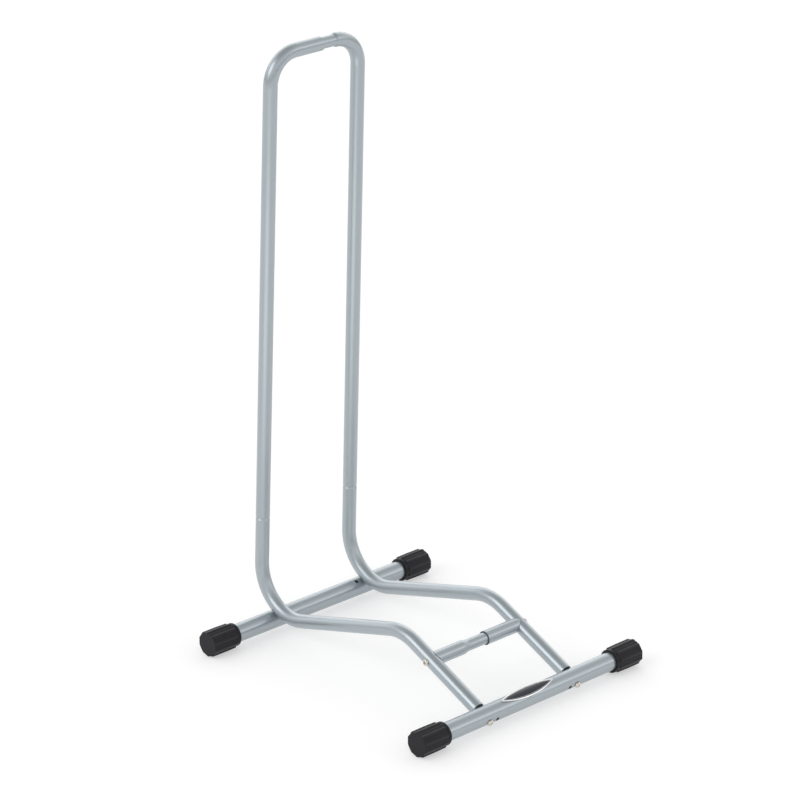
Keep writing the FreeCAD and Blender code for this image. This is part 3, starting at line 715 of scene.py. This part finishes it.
# %% Make one cap
def ribbed_cap(foot, cap):
    """Cup with a smooth collar and ribs.

    Its rows run from the middle of the bore's floor along the bore, round the mouth, over the
    collar and the ribs, and to the middle of the end face.  Radius and place along the axis turn
    into a point as axis + radius x (sin, -cos) of the turn.
    """
    axis_y, axis_z, tube_radius = foot_axis(foot)
    low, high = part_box(cap)
    outwards = 1 if low.x > 0 else -1
    mouth_x = low.x if outwards > 0 else high.x
    length = high.x - low.x
    end_radius = axis_z - cad_box[0].z     # the lowest rib stands on the floor
    bore = tube_radius + SEAT_GAP
    collar = bore + COLLAR_WALL

    columns = CAP_RIBS * COLUMNS_PER_RIB
    turn = np.arange(columns) / columns * 2 * np.pi
    shape = rib_shape(turn, end_radius)
    inside_and_collar = rounded_outline(
        [(length - END_WALL, POLE_RADIUS), (length - END_WALL, bore), (MOUTH_CHAMFER, bore),
         (0, bore + MOUTH_CHAMFER), (0, collar), (COLLAR_LENGTH, collar),
         (COLLAR_LENGTH, collar - GROOVE_DEPTH)],
        [FLOOR_ROUND, MOUTH_ROUND, MOUTH_ROUND, COLLAR_ROUND, GROOVE_ROUND],
        CAP_STEP, arc_steps=5)[:-1]
    side_along, side_radius = ribbed_side(length, end_radius, shape)
    face_radius = np.linspace(end_radius - END_ROUND, POLE_RADIUS, FACE_ROWS)[1:, None]
    face_along = np.full_like(face_radius, length)
    whole_turn = np.ones((1, len(turn)))
    along = np.vstack([inside_and_collar[:, :1] * whole_turn, side_along, face_along * whole_turn])
    radius = np.vstack([inside_and_collar[:, 1:] * whole_turn, side_radius,
                        face_radius * whole_turn])
    rows = np.stack([mouth_x + outwards * along, axis_y + radius * np.sin(turn),
                     axis_z - radius * np.cos(turn)], axis=-1)
    first = (mouth_x + outwards * along[0, 0], axis_y, axis_z)
    last = (mouth_x + outwards * length, axis_y, axis_z)
    crest = np.clip((radius - (end_radius - RIB_HEIGHT)) / RIB_HEIGHT, 0, 1)
    piece = skin("rubber_" + cap, rows, (first, last), {"crest": crest})
    settle(piece, cap, BLACK_RUBBER)


for foot_name in ("front", "rear"):
    for side_name in ("left", "right"):
        ribbed_cap(foot_name + "_foot_tube", "foot_cap_" + foot_name + "_" + side_name)

# %% [markdown]
# ## Pan-head screws
#
# Six screws hold the rack together: two through each foot tube and one through each leg into the
# crossbar.  A pan head is a low dome with a cross cut into it.  Cutting the cross with a boolean
# would leave long thin faces, so the cross is a depth that is taken off the dome, point by point.

# %% Sizes of a screw
HEAD_RADIUS = 4.75 * MM
HEAD_HEIGHT = 3.4 * MM
HEAD_EDGE = 1.3 * MM
SHANK_RADIUS = 2.5 * MM
SCREW_POINT = 0.6 * MM
CROSS_WIDTH = 1.3 * MM
CROSS_SPAN = 5.4 * MM
CROSS_DEPTH = 1.8 * MM
CROSS_WALL = 0.3 * MM              # how far the cross's walls lean in
ARM_END_RUN = 3 * CROSS_WALL       # length over which the end of an arm rises
DOME_INSET = 0.25 * MM             # the dome ends this far inside the head's edge
DOME_REACH, DOME_POWER = 0.985, 2.4
DOME_ROWS = 26
HEAD_ROUND, NECK_ROUND = 0.25 * MM, 0.1 * MM
SCREW_COLUMNS = 96
SCREW_STEP = 3.0 * MM
CONTACT_ANGLE = 27.6               # degrees forward of straight up where a rear bend is seated
SIDE_FRAMES_APART = 159.0 * MM     # between the tubes' axes, at the height of the foot tubes
FRAME_LEAN = 4.3 / 782             # how far a side frame leans in, for each step up


def side_plane_way(angle):
    """Unit vector in the side plane, at an angle in degrees up from straight forward."""
    return np.array([0, -math.cos(math.radians(angle)), math.sin(math.radians(angle))])


print("screw head in millimetres:", round(2 * HEAD_RADIUS / MM, 1), "across and",
      round(HEAD_HEIGHT / MM, 1), "high")


# %% Make one screw
def pan_head_screw(node, way, seat, length):
    """Screw from the middle of its head to its tip, running along a way from its seat.

    At a share s of its reach the dome rises above the head's edge by its height times
    sqrt(1 - s^power).  The cross is as deep as the smaller of two ramps: one falls from its walls
    inwards, the other from the ends of its arms.
    """
    dome = np.linspace(0, 1, DOME_ROWS)[1:]
    dome_radius = dome * (HEAD_RADIUS - DOME_INSET)
    rise = np.sqrt(1 - (dome * DOME_REACH) ** DOME_POWER)
    dome_height = -HEAD_EDGE - (HEAD_HEIGHT - HEAD_EDGE) * rise
    below = rounded_outline([(-HEAD_EDGE, HEAD_RADIUS), (0, HEAD_RADIUS), (0, SHANK_RADIUS),
                             (length - SCREW_POINT, SHANK_RADIUS),
                             (length, SHANK_RADIUS - SCREW_POINT)],
                            [HEAD_ROUND, NECK_ROUND, 0], SCREW_STEP, arc_steps=4)
    along = np.concatenate([dome_height, below[:, 0]])
    radius = np.concatenate([dome_radius, below[:, 1]])
    turn = np.arange(SCREW_COLUMNS) / SCREW_COLUMNS * 2 * np.pi
    across, over = radius[:, None] * np.cos(turn), radius[:, None] * np.sin(turn)
    near = np.minimum(abs(across), abs(over))
    far = np.maximum(abs(across), abs(over))
    wall = np.clip((CROSS_WIDTH / 2 - near) / CROSS_WALL, 0, 1)
    arm_end = np.clip((CROSS_SPAN / 2 - far) / ARM_END_RUN, 0, 1)
    on_dome = (np.arange(len(along)) < len(dome))[:, None]
    sunk = CROSS_DEPTH * np.minimum(wall, arm_end) * on_dome
    way = way / np.linalg.norm(way)
    not_along = (1.0, 0, 0) if abs(way[0]) < 0.5 else (0, 0, 1.0)
    sideways = np.cross(way, not_along)
    upwards = np.cross(way, sideways)
    rows = (seat + (along[:, None] + sunk)[..., None] * way
            + across[..., None] * sideways + over[..., None] * upwards)
    first = seat + (-HEAD_HEIGHT + CROSS_DEPTH) * way
    last = seat + length * way
    piece = skin("zinc_" + node, rows, (first, last))
    settle(piece, node, ZINC)


def place_screws(side_name, outwards):
    """The three screws of one side frame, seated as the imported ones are."""
    for foot, angle in (("front", 180 - LEG_SLOPE), ("rear", 90 - CONTACT_ANGLE)):
        node = foot + "_foot_screw_" + side_name
        low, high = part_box(node)
        axis_y, axis_z, tube_radius = foot_axis(foot + "_foot_tube")
        way = side_plane_way(angle)
        way[0] = -outwards * FRAME_LEAN * way[2]
        on_axis = np.array([outwards * SIDE_FRAMES_APART / 2, axis_y, axis_z])
        seat = on_axis - way * (tube_radius + SEAT_GAP)
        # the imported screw's box ends a shank's radius, tilted, above the middle of its tip
        tip = (high.z - seat[2] - SHANK_RADIUS * abs(way[1])) / way[2]
        pan_head_screw(node, way, seat, tip)
    node = "crossbar_screw_" + side_name
    low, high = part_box(node)
    outer_x, inner_x = (high.x, low.x) if outwards > 0 else (low.x, high.x)
    seat = np.array([outer_x - outwards * HEAD_HEIGHT, (low.y + high.y) / 2, (low.z + high.z) / 2])
    pan_head_screw(node, np.array([-outwards, 0, 0.0]), seat, abs(seat[0] - inner_x))


for side_name, outwards in (("left", -1), ("right", 1)):
    place_screws(side_name, outwards)

# %% [markdown]
# ## The badge plate
#
# The plate is a long oval with narrow blunt tips, wrapped round the front foot tube.  Rows run
# from tip to tip, and each column follows the same line of the plate: over the rim, across the
# sunk field, over the other rim and back underneath.  Where the plate gets narrow near its tips,
# the columns simply draw together, so the rim closes round the tip as a stamped one does.

# %% Sizes of the badge plate
BADGE_ANGLE = 70.0                 # degrees up from straight forward
BADGE_INNER_RADIUS = 13.1 * MM
BADGE_THICKNESS = 1.0 * MM
RIM_HEIGHT = 0.45 * MM
RIM_WIDTH = 1.5 * MM
EDGE_ROUND = 0.3 * MM
TIP_BLUNTNESS = 0.74               # 1 would give a pointed oval, 0.5 an ellipse
UNDERSIDE_SHADE_MARK = -2.0                 # distance mark that paints the underside and the foot of the side wall dark, as painted shade
BADGE_HALF_WIDTH = 9.0 * MM
EDGE_SHARE = 0.35                  # of the thickness, where the rounded top meets the side
RIM_FALL = 0.45 * MM               # width of the rim's inner slope
RIM_COLUMNS = np.array([0, 0.04, 0.1, 0.2, 0.35, 0.6, 0.85, 1.05, 1.2, 1.35, 1.5, 1.7]) * MM
FIELD_COLUMNS = 26
BADGE_ROWS = 121
TIP_ROOM = 1.15                    # the half width is never less than this times the rim's columns
print("badge plate in millimetres:", round(2 * BADGE_HALF_WIDTH / MM, 1), "wide over its curve")


# %% Make the badge plate
def badge_plate():
    """Wrapped plate whose height over the tube depends only on the distance from its edge.

    Half width = widest x (1 - (x / half length)^2) ^ bluntness.  A point at a distance w across
    the plate lies at an angle of arcsin(w / outer radius) round the tube.
    """
    low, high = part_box("badge_plate")
    axis_y, axis_z, _ = foot_axis("front_foot_tube")
    way = side_plane_way(BADGE_ANGLE)
    across_way = np.cross((1.0, 0, 0), way)
    half_length = (high.x - low.x) / 2
    middle_x = (high.x + low.x) / 2
    outer_radius = BADGE_INNER_RADIUS + BADGE_THICKNESS + RIM_HEIGHT

    x = half_length * np.sin(np.linspace(-0.5, 0.5, BADGE_ROWS)[1:-1] * np.pi)
    width_here = BADGE_HALF_WIDTH * (1 - (x / half_length) ** 2) ** TIP_BLUNTNESS

    # near the tips both rims still fit, because their columns shrink with the width
    shrink = np.minimum(1, width_here / (TIP_ROOM * RIM_COLUMNS[-1]))[:, None]
    from_edge_left = RIM_COLUMNS[None] * shrink
    field = np.linspace(0, 1, FIELD_COLUMNS)[None, 1:-1]
    inner = width_here[:, None] - from_edge_left[:, -1:]
    across = np.hstack([-width_here[:, None] + from_edge_left, -inner + 2 * inner * field,
                        (width_here[:, None] - from_edge_left)[:, ::-1]])
    from_edge = width_here[:, None] - abs(across)
    rise = smooth_step(from_edge, -EDGE_ROUND / 3, EDGE_ROUND)
    sunk = smooth_step(from_edge, RIM_WIDTH - RIM_FALL, RIM_WIDTH)
    top = (BADGE_INNER_RADIUS + BADGE_THICKNESS * (EDGE_SHARE + (1 - EDGE_SHARE) * rise)
           + RIM_HEIGHT * rise * (1 - sunk))

    under = across[:, ::-1][:, ::3]    # back underneath, with every third column
    angle = np.arcsin(np.hstack([across, under]) / outer_radius)
    radius = np.hstack([top, np.full_like(under, BADGE_INNER_RADIUS)])
    middle = np.array([0, axis_y, axis_z])
    rows = (middle + (middle_x + x)[:, None, None] * np.array([1.0, 0, 0])
            + (radius * np.cos(angle))[..., None] * way
            + (radius * np.sin(angle))[..., None] * across_way)
    tip_height = BADGE_INNER_RADIUS + BADGE_THICKNESS / 2
    tips = [middle + np.array([middle_x + sign * half_length, 0, 0]) + way * tip_height
            for sign in (-1, 1)]
    # the underside's mark paints it and the foot of the side wall in dark enamel, as painted shade
    marks = {"from_edge": np.hstack([from_edge / MM, np.full_like(under, UNDERSIDE_SHADE_MARK)])}
    piece = skin("stamped_badge_plate", rows, tips, marks)
    settle(piece, "badge_plate", BADGE_FINISH)


badge_plate()

# %% [markdown]
# ## Floor, surroundings and light
#
# The rack stands on a white sweep under very soft light, with faint shadows close to what touches
# the floor.  The floor is part plain white surface, which takes the shadows, and part glow that
# only the camera and reflections see, which brings it up to white without putting more light on
# the rack.  To reflections the floor also shows a painted pool of light, a brighter glow where no
# lamp stands, like the pool a studio lamp leaves at its foot; the uprights mirror this painted
# light as one long soft streak.

# %% The floor
FLOOR_HALF = 14.0                  # metres
FLOOR_GREY = (0.62, 0.62, 0.62)    # the diffuse share, which takes the shadows
FLOOR_GLOW = 0.46
# a painted pool of light: a glow on the floor, seen only in reflections, where no lamp stands
POOL_PLACE = (-1.05, -0.56, 0.0)
POOL_RADIUS = 0.85
POOL_CORE = 0.3                    # share of the radius at full glow
PAINTED_POOL_GLOW = 0.8


def painted_light_pool(tree):
    """Mask of the painted pool of light: 1 in its middle, falling softly to 0 at its radius."""
    place = add_node(tree, "ShaderNodeTexCoord")
    away = add_node(tree, "ShaderNodeVectorMath", operation="DISTANCE")
    away.inputs[1].default_value = POOL_PLACE
    join(tree, place.outputs["Object"], away.inputs[0])
    return soft_ramp(tree, away.outputs["Value"], POOL_CORE * POOL_RADIUS, POOL_RADIUS, 1.0, 0.0)


def white_floor():
    """Flat square under the rack: a diffuse share for shadows, and a glow for plain whiteness.

    Glow = floor glow for the camera; for reflections it is floor glow + pool x pool glow, and that
    pool is painted light.
    """
    half = FLOOR_HALF
    corners = [(-half, -half, 0), (half, -half, 0), (half, half, 0), (-half, half, 0)]
    mesh = bpy.data.meshes.new("floor")
    mesh.from_pydata(corners, [], [(0, 1, 2, 3)])
    floor = bpy.data.objects.new("floor", mesh)
    bpy.context.scene.collection.objects.link(floor)
    material, tree, shader = new_finish("white floor")
    tree.nodes.remove(shader)
    matt = add_node(tree, "ShaderNodeBsdfDiffuse", Color=(*FLOOR_GREY, 1))
    glow = add_node(tree, "ShaderNodeEmission")
    seen = add_node(tree, "ShaderNodeLightPath")
    for_gloss = add_node(tree, "ShaderNodeMath", operation="MULTIPLY_ADD")
    for_gloss.inputs[1].default_value = PAINTED_POOL_GLOW
    for_gloss.inputs[2].default_value = FLOOR_GLOW
    for_gloss_rays = add_node(tree, "ShaderNodeMath", operation="MULTIPLY")
    strength = add_node(tree, "ShaderNodeMath", operation="MULTIPLY_ADD")
    strength.inputs[1].default_value = FLOOR_GLOW
    total = add_node(tree, "ShaderNodeAddShader")
    join(tree, painted_light_pool(tree), for_gloss.inputs[0])
    join(tree, seen.outputs["Is Glossy Ray"], for_gloss_rays.inputs[0])
    join(tree, for_gloss.outputs[0], for_gloss_rays.inputs[1])
    join(tree, seen.outputs["Is Camera Ray"], strength.inputs[0])
    join(tree, for_gloss_rays.outputs[0], strength.inputs[2])
    join(tree, strength.outputs[0], glow.inputs["Strength"])
    join(tree, matt.outputs[0], total.inputs[0])
    join(tree, glow.outputs[0], total.inputs[1])
    join(tree, total.outputs[0], tree.nodes["Material Output"].inputs["Surface"])
    mesh.materials.append(material)


white_floor()
print("floor ready:", 2 * FLOOR_HALF, "metres wide")

# %% [markdown]
# Round tubes show their surroundings as long streaks, so the surroundings matter as much as the
# lamps.  They are brightest a little above the horizon, as the walls of a white studio are, and
# fall off to a darker line at the horizon and a darker ceiling.  The wall behind the rack, a lit
# backdrop, is brighter than the others.  A lamp of the Sun kind lights the whole floor evenly, and
# a wide angle makes its shadows soft.

# %% Surroundings and lamps
HORIZON = {"start": -0.1, "end": 0.32, "from_level": 0.3, "to_level": 1.0}
CEILING = {"start": 0.42, "end": 1.0, "from_level": 1.0, "to_level": 0.45}
BACKDROP = {"start": 0.3, "end": 0.9, "from_level": 1.0, "to_level": 1.7}
BACKDROP_WAY = (0.5, 0.866, 0)


def soft_surroundings():
    """World with bright walls, a darker horizon and ceiling; the camera sees plain white.

    Strength = rise from the horizon x fall to the ceiling x backdrop.  The first two follow a
    direction's height, the last how far it points to the back of the studio.
    """
    world = bpy.data.worlds.new("studio")
    bpy.context.scene.world = world
    world.use_nodes = True
    tree = world.node_tree
    background = tree.nodes["Background"]
    background.inputs["Color"].default_value = (1, 1, 1, 1)
    place = add_node(tree, "ShaderNodeTexCoord")
    parts = add_node(tree, "ShaderNodeSeparateXYZ")
    level = add_node(tree, "ShaderNodeMath", operation="MULTIPLY")
    backwards = add_node(tree, "ShaderNodeVectorMath", operation="DOT_PRODUCT")
    backwards.inputs[1].default_value = BACKDROP_WAY
    with_backdrop = add_node(tree, "ShaderNodeMath", operation="MULTIPLY")
    seen = add_node(tree, "ShaderNodeLightPath")
    strength = add_node(tree, "ShaderNodeMix", data_type="FLOAT")
    strength.inputs["B"].default_value = 1.0
    join(tree, place.outputs["Generated"], parts.inputs[0])
    join(tree, soft_ramp(tree, parts.outputs["Z"], **HORIZON), level.inputs[0])
    join(tree, soft_ramp(tree, parts.outputs["Z"], **CEILING), level.inputs[1])
    join(tree, place.outputs["Generated"], backwards.inputs[0])
    backdrop = soft_ramp(tree, backwards.outputs["Value"], **BACKDROP)
    join(tree, backdrop, with_backdrop.inputs[0])
    join(tree, level.outputs[0], with_backdrop.inputs[1])
    join(tree, seen.outputs["Is Camera Ray"], strength.inputs["Factor"])
    join(tree, with_backdrop.outputs[0], strength.inputs["A"])
    join(tree, strength.outputs["Result"], background.inputs["Strength"])


def sun(name, azimuth, elevation, strength, angle):
    """Sun lamp that shines from an azimuth (0 is the front) and an elevation, in degrees."""
    lamp = bpy.data.lights.new(name, "SUN")
    lamp.energy = strength
    lamp.angle = math.radians(angle)
    holder = bpy.data.objects.new(name, lamp)
    holder.rotation_euler = (math.radians(90 - elevation), 0, math.radians(azimuth))
    bpy.context.scene.collection.objects.link(holder)


soft_surroundings()
sun("key", azimuth=-100, elevation=36, strength=0.55, angle=38)
sun("fill", azimuth=40, elevation=22, strength=0.08, angle=20)
print("world and", len(bpy.data.lights), "lamps ready")
